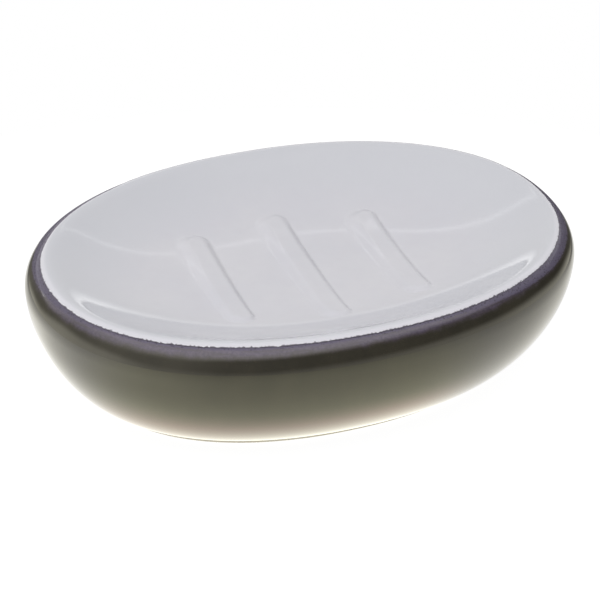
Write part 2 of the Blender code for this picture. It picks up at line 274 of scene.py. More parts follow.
def clay_section():
    """From the middle of the basin's underside out, down, under the foot and up the hollow."""
    under = GLAZE + CLAY_GAP
    rings = [ring_by_share(share, under, 0.0) for share in basin_shares(20, 8)]
    lowest = GLAZE_LINE + 0.5 * MM
    for point, inwards in outside_points(math.radians(4), lowest)[::4]:
        at = point + under * inwards
        if at.y > lowest:
            rings.append(ring_by_inset(at.x, at.y))
    corner = EDGE_RADIUS

    def round_corner(inset, height, start):
        for i in range(5):
            turn = start + math.pi / 2 * i / 4
            rings.append(ring_by_inset(inset + corner * math.cos(turn),
                                       height + corner * math.sin(turn)))

    rings.append(ring_by_inset(FOOT_INSET + 0.05 * MM, GLAZE_LINE + 0.3 * MM))
    rings.append(ring_by_inset(FOOT_INSET, GLAZE_LINE))
    round_corner(FOOT_INSET + corner, PAD_STAND + corner, math.pi)
    inner = FOOT_INSET + FOOT_WIDTH
    rings.append(ring_by_inset((FOOT_INSET + inner) / 2, PAD_STAND))
    round_corner(inner - corner, PAD_STAND + corner, -math.pi / 2)
    for i in range(1, 5):
        rings.append(ring_by_inset(inner, PAD_STAND + corner + (FOOT_LIP - corner) * i / 4))
    roof_share = 1 - (WALL + 2 * CAVITY_CORNER) / BASIN_HALF_LENGTH
    roof = ring_by_share(roof_share, WALL)[0]
    wall = []
    for point, inwards in outside_points(math.radians(30), 0.0):
        at = point + WALL * inwards
        if at.x < inner and PAD_STAND + FOOT_LIP < at.y < roof[2] - CAVITY_CORNER:
            wall.append(at)
    wall.sort(key=lambda at: at.y)
    rings += [ring_by_inset(at.x, at.y) for at in wall[1::2]]
    last = wall[-1]
    for i in range(1, 9):
        turn = math.pi / 2 * i / 8
        share = 1 - math.cos(turn)
        rings.append(plain_ring((HALF_LENGTH - last.x) * (1 - share) + roof[0] * share,
                                (HALF_WIDTH - last.x) * (1 - share) + roof[1] * share,
                                last.y + (roof[2] - last.y) * math.sin(turn)))
    for i in range(1, 13):
        rings.append(plain_ring(*ring_by_share(roof_share * (1 - i / 12), WALL)[0]))
    return rings


def section_mesh(name, rings):
    """A run of loose points with the attributes that the lofting tree reads."""
    data = bpy.data.meshes.new(name)
    data.from_pydata([ring[0] for ring in rings], [], [])
    seam = data.attributes.new("seam", "FLOAT", "POINT")
    rib = data.attributes.new("rib", "FLOAT", "POINT")
    slide = data.attributes.new("slide", "FLOAT_VECTOR", "POINT")
    for i, ring in enumerate(rings):
        seam.data[i].value = ring[1]
        rib.data[i].value = ring[2]
        slide.data[i].vector = ring[3]
    return data


class Bench:
    """Adds nodes to a tree, with sockets or plain values as their inputs."""

    def __init__(self, tree):
        self.tree = tree

    def add(self, kind, *inputs, **settings):
        node = self.tree.nodes.new(kind)
        for key, value in settings.items():
            setattr(node, key, value)
        for socket, value in zip(node.inputs, inputs):
            self.put(socket, value)
        return node

    def put(self, socket, value):
        if value is None:
            return
        if isinstance(value, bpy.types.NodeSocket):
            self.tree.links.new(value, socket)
        else:
            socket.default_value = value

    def fill(self, node, **values):
        """Fill a node's inputs by their names, and give back its first output."""
        for name, value in values.items():
            self.put(node.inputs[name.replace("_", " ")], value)
        return node.outputs[0]

    def math(self, operation, *inputs):
        return self.add("ShaderNodeMath", *inputs, operation=operation).outputs[0]

    def vector(self, operation, *inputs):
        return self.add("ShaderNodeVectorMath", *inputs, operation=operation).outputs[0]

    def measure(self, operation, *inputs):
        """A number taken from vectors, such as a length or a dot product."""
        return self.add("ShaderNodeVectorMath", *inputs, operation=operation).outputs["Value"]

    def product(self, *values):
        result = values[0]
        for value in values[1:]:
            result = self.math("MULTIPLY", result, value)
        return result

    def total(self, *values):
        result = values[0]
        for value in values[1:]:
            result = self.math("ADD", result, value)
        return result

    def less(self, value, taken):
        return self.math("SUBTRACT", value, taken)

    def over(self, value, divisor):
        return self.math("DIVIDE", value, divisor)

    def clamped(self, value, low, high):
        return self.math("MINIMUM", self.math("MAXIMUM", value, low), high)

    def between(self, value, low, high, ends=(0.0, 1.0)):
        """Smoothly from one end to the other as the value goes from low to high."""
        node = self.add("ShaderNodeMapRange", value, low, high, *ends,
                        interpolation_type="SMOOTHSTEP")
        return node.outputs[0]


def new_tree(name, inputs):
    """A geometry tree with a geometry in and out, and named inputs with their types."""
    tree = bpy.data.node_groups.new(name, "GeometryNodeTree")
    tree.interface.new_socket("Geometry", in_out="INPUT", socket_type="NodeSocketGeometry")
    for label, kind in inputs:
        tree.interface.new_socket(label, in_out="INPUT", socket_type=kind)
    tree.interface.new_socket("Geometry", in_out="OUTPUT", socket_type="NodeSocketGeometry")
    start = tree.nodes.new("NodeGroupInput")
    end = tree.nodes.new("NodeGroupOutput")
    return tree, Bench(tree), start.outputs, end.inputs[0]


def finish_node(bench, mesh, finish):
    node = bench.add("GeometryNodeSetMaterial", mesh)
    return bench.fill(node, Material=finish)


def edge_shift(bench, given, round_way):
    """How far the edge of a glaze slides at each place round the dish, down the outside."""
    def noise(scale, seed):
        node = bench.add("ShaderNodeTexNoise", noise_dimensions="4D")
        return bench.less(bench.fill(node, Vector=round_way, W=seed, Scale=scale, Detail=3.0), 0.5)

    wander = bench.product(noise(5.0, 2.7), given["Edge wander"])
    tooth = bench.product(noise(given["Edge tooth scale"], 8.1), given["Edge tooth"])
    facing = bench.measure("DOT_PRODUCT", round_way, CAMERA_SIDE)
    leftward = bench.measure("DOT_PRODUCT", round_way, CAMERA_LEFT)
    drop = bench.product(bench.between(facing, -0.1, 0.4), given["Edge drop"])
    climb = bench.product(bench.between(facing, 0.4, -0.3), bench.between(facing, -0.70, -0.54))
    climb = bench.product(climb, bench.total(bench.product(leftward, 0.42), 1.0))
    shift = bench.less(drop, bench.product(climb, given["Edge climb"]))
    return bench.total(wander, tooth, shift)


def rib_rise(bench, given, x, y):
    """How far the three soap ribs raise the basin at a place."""
    beside = bench.less(x, given["Rib shift"])
    lane = bench.clamped(bench.math("ROUND", bench.over(beside, given["Rib pitch"])), -1.0, 1.0)
    across = bench.less(beside, bench.product(lane, given["Rib pitch"]))
    longer = bench.less(given["Outer rib length"], given["Middle rib length"])
    longer = bench.product(longer, bench.math("ABSOLUTE", lane))
    half_rib = bench.over(bench.total(given["Middle rib length"], longer), 2.0)
    half_crest = bench.over(given["Rib crest width"], 2.0)

    rightward = bench.between(bench.over(across, half_crest), -1.3, 1.3)
    wider = bench.less(given["Rib right flank"], given["Rib left flank"])
    flank = bench.total(given["Rib left flank"], bench.product(rightward, wider))
    backward = bench.clamped(bench.over(y, half_rib), -1.0, 1.0)
    swell = bench.total(bench.product(backward, given["Rib lean"]), 1.0)
    flank = bench.product(flank, swell)

    reach = bench.less(half_rib, bench.total(half_crest, flank))
    step = bench.product(lane, given["Rib step"])
    from_middle = bench.math("ABSOLUTE", bench.total(y, step))
    beyond = bench.math("MAXIMUM", bench.less(from_middle, reach), 0.0)
    away = bench.total(bench.product(across, across), bench.product(beyond, beyond))
    away = bench.less(bench.math("SQRT", away), half_crest)
    fall = bench.clamped(bench.over(away, flank), 0.0, 1.0)
    profile = bench.math("POWER", bench.less(1.0, bench.product(fall, fall)),
                         given["Rib roundness"])

    along = bench.math("MINIMUM", bench.over(from_middle, half_rib), 1.0)
    blunter = bench.less(given["Rib front taper"], given["Rib taper"])
    blunter = bench.product(blunter, bench.math("LESS_THAN", y, 0.0))
    taper = bench.total(given["Rib taper"], blunter)
    level = bench.less(1.0, bench.math("POWER", along, taper))
    return bench.product(profile, level, given["Rib height"], swell)


def loft_tree():
    """Lofts rings round the dish from a section, with the ribs raised and the edge toothed."""
    sizes = ["Plan exponent", *RIBS, "Edge drop", "Edge climb", "Edge wander", "Edge tooth",
             "Edge tooth scale"]
    tree, bench, given, result = new_tree("loft_rings", [
        ("Columns", "NodeSocketInt"), *[(size, "NodeSocketFloat") for size in sizes],
        ("Finish", "NodeSocketMaterial"),
    ])
    section = given["Geometry"]
    columns = given["Columns"]
    count = bench.add("GeometryNodeAttributeDomainSize", section, component="MESH")
    per_row = bench.total(columns, 1.0)
    grid = bench.add("GeometryNodeMeshGrid")
    grid = bench.fill(grid, Vertices_X=count.outputs["Point Count"], Vertices_Y=per_row)
    # A quarter is added to each whole number so that rounding down never slips to the one before
    index = bench.total(bench.add("GeometryNodeInputIndex").outputs[0], 0.25)
    row = bench.math("FLOOR", bench.over(index, per_row))
    column = bench.math("FLOOR", bench.less(index, bench.product(row, per_row)))
    row_index = bench.total(row, 0.25)
    angle = bench.product(bench.over(column, columns), 2 * math.pi)

    def of_section(kind, value):
        node = bench.add("GeometryNodeSampleIndex", data_type=kind, domain="POINT")
        return bench.fill(node, Geometry=section, Value=value, Index=row_index)

    def attribute(name, kind):
        node = bench.add("GeometryNodeInputNamedAttribute", data_type=kind)
        node.inputs["Name"].default_value = name
        return node.outputs["Attribute"]

    size = of_section("FLOAT_VECTOR", bench.add("GeometryNodeInputPosition").outputs[0])
    slide = of_section("FLOAT_VECTOR", attribute("slide", "FLOAT_VECTOR"))
    seam = of_section("FLOAT", attribute("seam", "FLOAT"))
    rib = of_section("FLOAT", attribute("rib", "FLOAT"))

    cosine = bench.math("COSINE", angle)
    sine = bench.math("SINE", angle)
    round_way = bench.add("ShaderNodeCombineXYZ", cosine, sine, 0.0).outputs[0]
    slid = bench.add("ShaderNodeVectorMath", slide, operation="SCALE")
    slid = bench.fill(slid, Scale=edge_shift(bench, given, round_way))
    size = bench.vector("ADD", size, slid)
    half_length, half_width, height = bench.add("ShaderNodeSeparateXYZ", size).outputs

    bend = bench.over(2.0, given["Plan exponent"])

    def rounded(value, half):
        bent = bench.math("POWER", bench.math("ABSOLUTE", value), bend)
        return bench.product(bench.math("SIGN", value), bent, half)

    x = rounded(cosine, half_length)
    y = rounded(sine, half_width)
    height = bench.total(height, bench.product(rib_rise(bench, given, x, y), rib))

    place = bench.add("ShaderNodeCombineXYZ", x, y, height).outputs[0]
    shell = bench.fill(bench.add("GeometryNodeSetPosition"), Geometry=grid, Position=place)
    stored = bench.add("GeometryNodeStoreNamedAttribute", data_type="FLOAT", domain="POINT")
    stored = bench.fill(stored, Geometry=shell, Name="seam", Value=seam)
    merged = bench.add("GeometryNodeMergeByDistance")
    merged = bench.fill(merged, Geometry=stored, Distance=0.001 * MM)
    smoothed = bench.add("GeometryNodeSetShadeSmooth", merged).outputs[0]
    whole = bench.add("GeometryNodeRealizeInstances", smoothed).outputs[0]
    bench.put(result, finish_node(bench, whole, given["Finish"]))
    return tree


def set_inputs(modifier, values):
    """Set a modifier's inputs, found by the socket's identifier from its name."""
    wanted = dict(values)
    for item in modifier.node_group.interface.items_tree:
        if item.item_type == "SOCKET" and item.in_out == "INPUT" and item.name in wanted:
            modifier[item.identifier] = wanted.pop(item.name)
    assert not wanted, wanted


def plain_mesh(name, data, steps):
    """Run trees on a section, one after another, and keep the result as a plain closed piece."""
    source = bpy.data.objects.new(name + "_section", data)
    bpy.context.scene.collection.objects.link(source)
    for tree, values in steps:
        modifier = source.modifiers.new(tree.name, "NODES")
        modifier.node_group = tree
        set_inputs(modifier, values)
    depsgraph = bpy.context.evaluated_depsgraph_get()
    mesh = bpy.data.meshes.new_from_object(source.evaluated_get(depsgraph), depsgraph=depsgraph)
    bpy.data.objects.remove(source)
    work = bmesh.new()
    work.from_mesh(mesh)
    bmesh.ops.recalc_face_normals(work, faces=work.faces)
    for edge in work.edges:
        edge.smooth = edge.calc_face_angle(0.0) < SHARP_ANGLE
    work.to_mesh(mesh)
    open_edges = sum(1 for edge in work.edges if not edge.is_manifold)
    volume = work.calc_volume(signed=True) * 1e6
    work.free()
    mesh.name = name
    piece = bpy.data.objects.new(name, mesh)
    bpy.context.scene.collection.objects.link(piece)
    print(f"{name}: {len(mesh.polygons)} faces, {open_edges} open edges, {volume:.2f} cm3")
    return piece


def four_places(bench, given):
    """The points under the foot ring where the pads sit."""
    corners = bench.add("GeometryNodeMeshGrid", given["Pads apart"], given["Pads across"], 2, 2)
    return bench.add("GeometryNodeMeshToPoints", corners.outputs[0]).outputs[0]


def pads_tree():
    """Sets a copy of the pad at each of the four places."""
    tree, bench, given, result = new_tree("set_pads", [
        ("Pads apart", "NodeSocketFloat"), ("Pads across", "NodeSocketFloat"),
        ("Finish", "NodeSocketMaterial"),
    ])
    copies = bench.add("GeometryNodeInstanceOnPoints", four_places(bench, given))
    copies = bench.fill(copies, Instance=given["Geometry"])
    pads = bench.add("GeometryNodeRealizeInstances", copies).outputs[0]
    bench.put(result, finish_node(bench, pads, given["Finish"]))
    return tree


def pockets_tree():
    """Cuts the round pockets that the pads are glued into."""
    sizes = ("Pads apart", "Pads across", "Pocket radius", "Pocket top")
    tree, bench, given, result = new_tree("cut_pockets", [
        *[(size, "NodeSocketFloat") for size in sizes], ("Finish", "NodeSocketMaterial"),
    ])
    depth = bench.product(given["Pocket top"], 2.0)
    plug = bench.add("GeometryNodeMeshCylinder", 96, 1, 1, given["Pocket radius"], depth)
    copies = bench.add("GeometryNodeInstanceOnPoints", four_places(bench, given))
    copies = bench.fill(copies, Instance=plug.outputs["Mesh"])
    plugs = bench.add("GeometryNodeRealizeInstances", copies).outputs[0]
    cut = bench.add("GeometryNodeMeshBoolean", given["Geometry"], plugs,
                    operation="DIFFERENCE", solver="EXACT")
    bench.put(result, finish_node(bench, cut.outputs[0], given["Finish"]))
    return tree


def pad_section():
    """Half a pad from the middle of its top, out over the rounded edges, to the bottom."""
    flat = PAD_RADIUS - EDGE_RADIUS
    points = [(0.0, PAD_THICKNESS), (PAD_RADIUS / 2, PAD_THICKNESS)]
    for i in range(6):
        turn = math.pi / 2 * i / 5
        points.append((flat + EDGE_RADIUS * math.sin(turn),
                       PAD_THICKNESS - EDGE_RADIUS * (1 - math.cos(turn))))
    for i in range(6):
        turn = math.pi / 2 * i / 5
        points.append((flat + EDGE_RADIUS * math.cos(turn),
                       EDGE_RADIUS * (1 - math.sin(turn))))
    points += [(PAD_RADIUS / 2, 0.0), (0.0, 0.0)]
    return [plain_ring(radius, radius, height) for radius, height in points]


class Finish(Bench):
    """A material whose colour, gloss and relief come from patterns on the object's own
    coordinates, measured in millimetres."""

    def __init__(self, name, **gloss):
        self.material = bpy.data.materials.new(name)
        self.material.use_nodes = True
        super().__init__(self.material.node_tree)
        self.tree.nodes.clear()
        self.shader = self.add("ShaderNodeBsdfPrincipled")
        for socket, value in gloss.items():
            self.shader.inputs[socket.replace("_", " ")].default_value = value
        output = self.add("ShaderNodeOutputMaterial")
        self.tree.links.new(self.shader.outputs[0], output.inputs[0])
        place = self.add("ShaderNodeTexCoord").outputs["Object"]
        self.place = self.scaled(place, (1000.0, 1000.0, 1000.0))

    def scaled(self, vector, factors):
        return self.vector("MULTIPLY", vector, factors)

    def clouds(self, size, detail=3.0, roughness=0.5, place=None, seed=0.0):
        """Soft noise from 0 to 1 with features of a size in millimetres."""
        node = self.add("ShaderNodeTexNoise", place or self.place, seed, 1.0 / size, detail,
                        roughness, noise_dimensions="4D")
        return node.outputs[0]

    def blend(self, amount, first, second):
        """From one colour to another, each red, green and blue or a socket."""
        node = self.add("ShaderNodeMix", data_type="RGBA")
        self.put(node.inputs["Factor"], amount)
        for socket, colour in ((node.inputs[6], first), (node.inputs[7], second)):
            self.put(socket, (*colour, 1) if isinstance(colour, tuple) else colour)
        return node.outputs[2]

    def below_seam(self):
        """Millimetres below the seam between the glazes, negative inside the basin."""
        node = self.add("ShaderNodeAttribute", attribute_name="seam")
        return self.product(node.outputs["Fac"], -1000.0)

    def pinholes(self, spacing, radius, share):
        """Small round dots, in a share of the cells that they are strewn over."""
        cells = self.add("ShaderNodeTexVoronoi", self.place, None, 1.0 / spacing, feature="F1",
                         voronoi_dimensions="3D")
        red = self.add("ShaderNodeSeparateXYZ", cells.outputs["Color"]).outputs[0]
        chosen = self.math("LESS_THAN", red, share)
        size = radius / spacing
        dot = self.between(cells.outputs["Distance"], size * 1.4, size * 0.7)
        return self.product(dot, chosen)

    def set(self, colour, roughness, relief):
        """Link colour, roughness and relief, where relief is in millimetres."""
        self.put(self.shader.inputs["Base Color"], colour)
        self.put(self.shader.inputs["Roughness"], roughness)
        bump = self.fill(self.add("ShaderNodeBump"), Strength=1.0, Distance=MM, Height=relief)
        self.tree.links.new(bump, self.shader.inputs["Normal"])
        return self.material


def white_glaze_finish():
    """Glossy milk-white glaze, a little cooler towards the basin's walls, with a painted highlight
    on the lip just inside the seam, and stained at the seam.
    """
    finish = Finish("white_glaze", IOR=1.52, Specular_IOR_Level=0.5)
    pool = finish.clouds(24.0, 3.0)
    milk = finish.clouds(3.1, 2.0, seed=4.0)
    grain = finish.clouds(0.5, 2.0)
    colour = finish.blend(finish.between(pool, 0.3, 0.7),
                          (0.700, 0.695, 0.735), (0.730, 0.722, 0.751))
    colour = finish.blend(finish.between(milk, 0.35, 0.75, (0.0, 0.35)),
                          colour, (0.690, 0.677, 0.715))
    outwards = finish.measure("LENGTH", finish.scaled(finish.place, (1 / 61.0, 1 / 43.0, 0.0)))
    colour = finish.blend(finish.between(outwards, 0.6, 1.0, (0.0, 0.7)),
                          colour, (0.695, 0.705, 0.738))
    edge = finish.below_seam()
    # Painted highlight: the lip from the crest down to the seam is painted paler, where the light
    # falls on it.
    painted_lip_highlight = finish.product(finish.between(edge, -1.8, -0.7), finish.between(edge, 0.2, -0.2))
    colour = finish.blend(painted_lip_highlight, colour, (0.81, 0.80, 0.84))
    teeth = finish.product(finish.less(finish.clouds(0.55, 3.0, 0.6, seed=7.0), 0.5), 1.2)
    bitten = finish.between(finish.total(edge, teeth), -0.18, -0.06)
    colour = finish.blend(finish.product(bitten, 0.9), colour, (0.060, 0.045, 0.078))
    pins = finish.pinholes(9.0, 0.14, 0.16)
    colour = finish.blend(finish.product(pins, 0.6), colour, (0.22, 0.19, 0.16))
    roughness = finish.total(0.055, finish.product(pool, 0.03), finish.product(grain, 0.03))
    relief = finish.total(finish.product(finish.clouds(7.0, 2.0, seed=2.0), 0.005),
                          finish.product(grain, 0.0006), finish.product(pins, -0.02))
    return finish.set(colour, roughness, relief)


def dark_glaze_finish():
    """Glossy olive-black glaze that breaks to a mottled purple-grey under the seam, where its
    colour also carries a painted highlight along the rim.
    """
    finish = Finish("dark_glaze", IOR=1.5, Coat_Weight=1.0, Coat_IOR=1.5, Coat_Roughness=0.03)
    below = finish.below_seam()
    run = finish.scaled(finish.place, (1.0, 1.0, 0.45))
    ragged = finish.product(finish.less(finish.clouds(3.0, 4.0, place=run), 0.5), 1.8)
    mottle = finish.clouds(0.75, 4.0, 0.65, seed=3.0)
    flow = finish.clouds(6.0, 4.0, 0.6, place=run, seed=6.0)
    colour = finish.blend(finish.between(flow, 0.3, 0.7),
                          (0.016, 0.014, 0.012), (0.026, 0.023, 0.020))
    speckle = finish.between(finish.clouds(0.45, 2.0, seed=9.0), 0.62, 0.72)
    colour = finish.blend(finish.product(speckle, 0.35), colour, (0.060, 0.052, 0.034))

    # The purple-grey zone, with streaks that run round the rim. Its colour is the glaze's own
    # purple-grey, painted paler as well to stand in for the highlight band along the rim.
    rim = finish.between(finish.total(below, ragged), 3.6, 1.6)
    mauve_and_painted_highlight = finish.blend(finish.between(mottle, 0.35, 0.65),
                         (0.062, 0.048, 0.082), (0.100, 0.080, 0.122))
    depth = finish.add("ShaderNodeCombineXYZ", 0.0, 0.0, below).outputs[0]
    lengthways = finish.vector("ADD", finish.scaled(finish.place, (0.09, 0.09, 0.0)), depth)
    streaks = finish.clouds(0.8, 3.0, 0.6, place=lengthways, seed=11.0)
    mauve_and_painted_highlight = finish.blend(finish.between(streaks, 0.42, 0.68, (0.0, 0.8)),
                         mauve_and_painted_highlight, (0.052, 0.042, 0.048))
    colour = finish.blend(rim, colour, mauve_and_painted_highlight)
    tint = finish.blend(rim, (1.0, 0.965, 0.72), (1.0, 0.97, 1.0))
    finish.put(finish.shader.inputs["Coat Tint"], tint)

    # The matt strip right under the seam, wider at the dish's ends
    towards = finish.measure("DOT_PRODUCT", finish.place, CAMERA_SIDE)
    far = finish.between(towards, 44.0, 10.0)
    inner = finish.total(below, finish.product(finish.less(mottle, 0.5), 1.3),
                         finish.product(far, -1.8))
    strip = finish.between(inner, 1.15, 0.55)
    pits = finish.between(finish.clouds(0.38, 2.0, seed=5.0), 0.55, 0.66)
    purple = finish.blend(pits, (0.098, 0.084, 0.134), (0.014, 0.010, 0.020))
    colour = finish.blend(finish.product(strip, 0.9), colour, purple)
    finish.put(finish.shader.inputs["Coat Weight"],
               finish.total(1.0, finish.product(strip, -0.7)))

    roughness = finish.total(0.06, finish.product(flow, 0.04), finish.product(rim, streaks, 0.16))
    matt = finish.product(strip, finish.total(0.25, finish.product(pits, 0.2)))
    relief = finish.total(finish.product(finish.clouds(9.0, 2.0, seed=1.0), 0.014),
                          finish.product(mottle, rim, 0.003),
                          finish.product(streaks, rim, 0.006),
                          finish.product(strip, pits, -0.008),
                          finish.product(finish.clouds(0.6, 2.0), 0.0006))
    return finish.set(colour, finish.total(roughness, matt), relief)


def clay_finish():
    """Bare cream stoneware with a fine grain and iron specks."""
    finish = Finish("bare_clay", IOR=1.45, Specular_IOR_Level=0.3)
    tone = finish.clouds(8.0, 4.0)
    grain = finish.clouds(0.35, 4.0, 0.7)
    colour = finish.blend(finish.between(tone, 0.3, 0.7),
                          (0.740, 0.705, 0.590), (0.800, 0.770, 0.670))
    colour = finish.blend(finish.between(grain, 0.45, 0.8, (0.0, 0.5)),
                          colour, (0.66, 0.61, 0.50))
    specks = finish.pinholes(1.7, 0.10, 0.3)
    colour = finish.blend(finish.product(specks, 0.7), colour, (0.20, 0.13, 0.08))
    roughness = finish.total(0.72, finish.product(grain, 0.2))
    relief = finish.total(finish.product(grain, 0.035), finish.product(finish.clouds(1.6), 0.03),
                          finish.product(specks, -0.02))
    return finish.set(colour, roughness, relief)


def silicone_finish():
    """Milky soft rubber with a fine moulded texture and a little dust."""
    finish = Finish("silicone", IOR=1.43, Specular_IOR_Level=0.5)
    cloud = finish.clouds(1.5, 3.0)
    dust = finish.between(finish.clouds(0.25, 3.0, 0.7), 0.55, 0.75)
    colour = finish.blend(finish.between(cloud, 0.3, 0.7), (0.56, 0.57, 0.56), (0.64, 0.65, 0.64))
    colour = finish.blend(finish.product(dust, 0.5), colour, (0.40, 0.38, 0.35))
    roughness = finish.total(0.38, finish.product(dust, 0.3))
    relief = finish.total(finish.product(finish.clouds(0.3, 2.0), 0.006),
                          finish.product(cloud, 0.008))
    return finish.set(colour, roughness, relief)


def make_dish():
    """The four pieces: two glazes, the clay and the pads."""
    loft = loft_tree()

    def lofted(name, rings, columns, finish, exponent=PLAN_EXPONENT, edge=None, more=()):
        edge = {"Edge drop": 0.0, "Edge climb": 0.0, "Edge wander": 0.0, "Edge tooth": 0.0,
                "Edge tooth scale": 48.0, **(edge or {})}
        steps = [(loft, {**RIBS, **edge, "Columns": columns, "Plan exponent": exponent}), *more]
        steps = [(tree, {**values, "Finish": finish}) for tree, values in steps]
        return plain_mesh(name, section_mesh(name, rings), steps)

    middle = FOOT_INSET + FOOT_WIDTH / 2
    bend = 2 / PLAN_EXPONENT
    places = {"Pads apart": 2 * (HALF_LENGTH - middle) * math.cos(PAD_ANGLE) ** bend,
              "Pads across": 2 * (HALF_WIDTH - middle) * math.sin(PAD_ANGLE) ** bend}
    pocket = {**places, "Pocket radius": PAD_RADIUS + GLUE_GAP,
              "Pocket top": PAD_THICKNESS + GLUE_GAP}
    white_edge = {"Edge drop": SEAM_DROP, "Edge climb": SEAM_CLIMB, "Edge wander": 0.3 * MM,
                  "Edge tooth": 0.3 * MM}
    white = lofted("white_glaze_basin", white_section(), 570, white_glaze_finish(),
                   edge=white_edge)
    dark = lofted("dark_glaze_outside", dark_section(), 480, dark_glaze_finish(),
                  edge={"Edge wander": 0.35 * MM})
    clay = lofted("clay_shell", clay_section(), 320, clay_finish(),
                  more=[(pockets_tree(), pocket)])
    pads = lofted("silicone_pads", pad_section(), 64, silicone_finish(), exponent=2.0,
                  more=[(pads_tree(), places)])
    for piece, slot, nodes in (
        (white, "white_glaze", ["basin_glaze"]),
        (dark, "dark_glaze", ["outer_glaze"]),
        (clay, "clay", ["clay_body"]),
        (pads, "silicone", ["pad_front_left", "pad_front_right", "pad_rear_left",
                            "pad_rear_right"]),
    ):
        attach(piece, "root")
        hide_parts(*nodes)


def bare_material(name):
    """A material with an empty node tree, and a bench to fill it."""
    material = bpy.data.materials.new(name)
    material.use_nodes = True
    material.node_tree.nodes.clear()
    return material, Bench(material.node_tree)


def stage_mesh(name, build, material):
    work = bmesh.new()
    build(work)
    data = bpy.data.meshes.new(name)
    work.to_mesh(data)
    work.free()
    data.materials.append(material)
    piece = bpy.data.objects.new(name, data)
    bpy.context.scene.collection.objects.link(piece)
    piece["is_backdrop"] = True
    return piece


# The table in the gloss is part lit paint, at about this level, and part its own glow
PAINT_LEVEL = 0.16
GLOW_SHARE = 0.72


def table_glow(x, y):
    """What the gloss sees of the table: brightest close under the front, paler to the left,
    and dimmer with distance. The reach is 1 on the dish's outline."""
    reach = (abs(x) / HALF_LENGTH) ** PLAN_EXPONENT + (abs(y) / HALF_WIDTH) ** PLAN_EXPONENT
    reach **= 1 / PLAN_EXPONENT
    distance = math.hypot(x, y) + 1e-6
    facing = (x * CAMERA_SIDE.x + y * CAMERA_SIDE.y) / distance
    leftward = (x * CAMERA_LEFT.x + y * CAMERA_LEFT.y) / distance
    ahead = smooth((facing - 0.35) / 0.5)
    left = smooth((leftward - 0.1) / 0.7) * smooth((facing + 0.3) / 0.4)
    right = smooth((-leftward - 0.4) / 0.5)
    near = smooth((1.08 - reach) / 0.38)
    level = 1.04 - 0.12 * smooth(-facing / 0.3) + near * 0.55 * ahead * (1 - 0.45 * left)
    level += left * (0.15 + 0.32 * smooth((reach - 1.1) / 0.5))
    level /= 1 + (1 - 0.7 * left - 0.5 * right) * max(distance - 60 * MM, 0.0) / 0.5
    pink = ahead * max(0.0, 1 - abs(reach - 0.88) / 0.16)
    level *= 1 + 0.06 * pink
    level *= 1 - 0.8 * smooth((-facing - 0.2) / 0.4) * smooth((distance - 125 * MM) / (20 * MM))
    colour = (1.0, 1 - 0.12 * pink, 1.05 - 0.18 * ahead + 0.11 * near * ahead - 0.08 * pink)
    return [max(level * part - PAINT_LEVEL, 0.0) / GLOW_SHARE for part in colour]


def make_floor():
    """A round white table that keeps the dish's shadow and can be looked through from below."""
    material, bench = bare_material("white_table")
    paint = bench.add("ShaderNodeBsdfDiffuse", (0.80, 0.79, 0.77, 1))
    white = bench.add("ShaderNodeEmission", (1.0, 1.0, 1.0, 1), 1.2)
    glow = bench.add("ShaderNodeAttribute", attribute_name="glow").outputs["Color"]
    glow = bench.add("ShaderNodeEmission", glow, 1.0)
    bounce = bench.add("ShaderNodeEmission", (1.0, 0.97, 0.90, 1), 1.2)
    lit = bench.add("ShaderNodeMixShader", 0.85, paint.outputs[0], bounce.outputs[0])
    seen = bench.add("ShaderNodeMixShader", 0.80, paint.outputs[0], white.outputs[0])
    mirrored = bench.add("ShaderNodeMixShader", GLOW_SHARE, paint.outputs[0], glow.outputs[0])
    rays = bench.add("ShaderNodeLightPath").outputs
    gloss = bench.total(rays["Is Glossy Ray"], rays["Is Transmission Ray"])
    gloss = bench.math("MINIMUM", gloss, 1.0)
    top = bench.add("ShaderNodeMixShader", gloss, lit.outputs[0], mirrored.outputs[0])
    top = bench.add("ShaderNodeMixShader", rays["Is Camera Ray"], top.outputs[0], seen.outputs[0])
    clear = bench.add("ShaderNodeBsdfTransparent")
    below = bench.add("ShaderNodeNewGeometry").outputs["Backfacing"]
    both = bench.add("ShaderNodeMixShader", below, top.outputs[0], clear.outputs[0])
    bench.add("ShaderNodeOutputMaterial", both.outputs[0])

    def disc(work):
        glow = work.verts.layers.float_color.new("glow")
        centre = CAMERA_SIDE * 0.09 - Vector((0, 0, 0.02 * MM))
        sides, spacing = 180, 1.95 * MM
        rings = []
        for i in range(121):
            ring = []
            for j in range(sides):
                angle = 2 * math.pi * j / sides
                place = centre + spacing * i * Vector((math.cos(angle), math.sin(angle), 0.0))
                vert = work.verts.new(place)
                vert[glow] = (*table_glow(place.x, place.y), 1.0)
                ring.append(vert)
            rings.append(ring)
        for inner, outer in zip(rings, rings[1:]):
            for j in range(sides):
                work.faces.new([inner[j - 1], outer[j - 1], outer[j], inner[j]])
        bmesh.ops.remove_doubles(work, verts=rings[0], dist=0.001 * MM)

    floor = stage_mesh("white_table", disc, material)
    floor.visible_shadow = False


def glowing(name, colour):
    """A card that glows by its own attribute, where 1 is white."""
    material, bench = bare_material(name)
    level = bench.add("ShaderNodeAttribute", attribute_name="glow").outputs["Fac"]
    glow = bench.add("ShaderNodeEmission", colour, level)
    bench.add("ShaderNodeOutputMaterial", glow.outputs[0])
    return material


def only_in_gloss(piece):
    piece.visible_camera = False
    piece.visible_diffuse = False
    piece.visible_transmission = False
    piece.visible_shadow = False


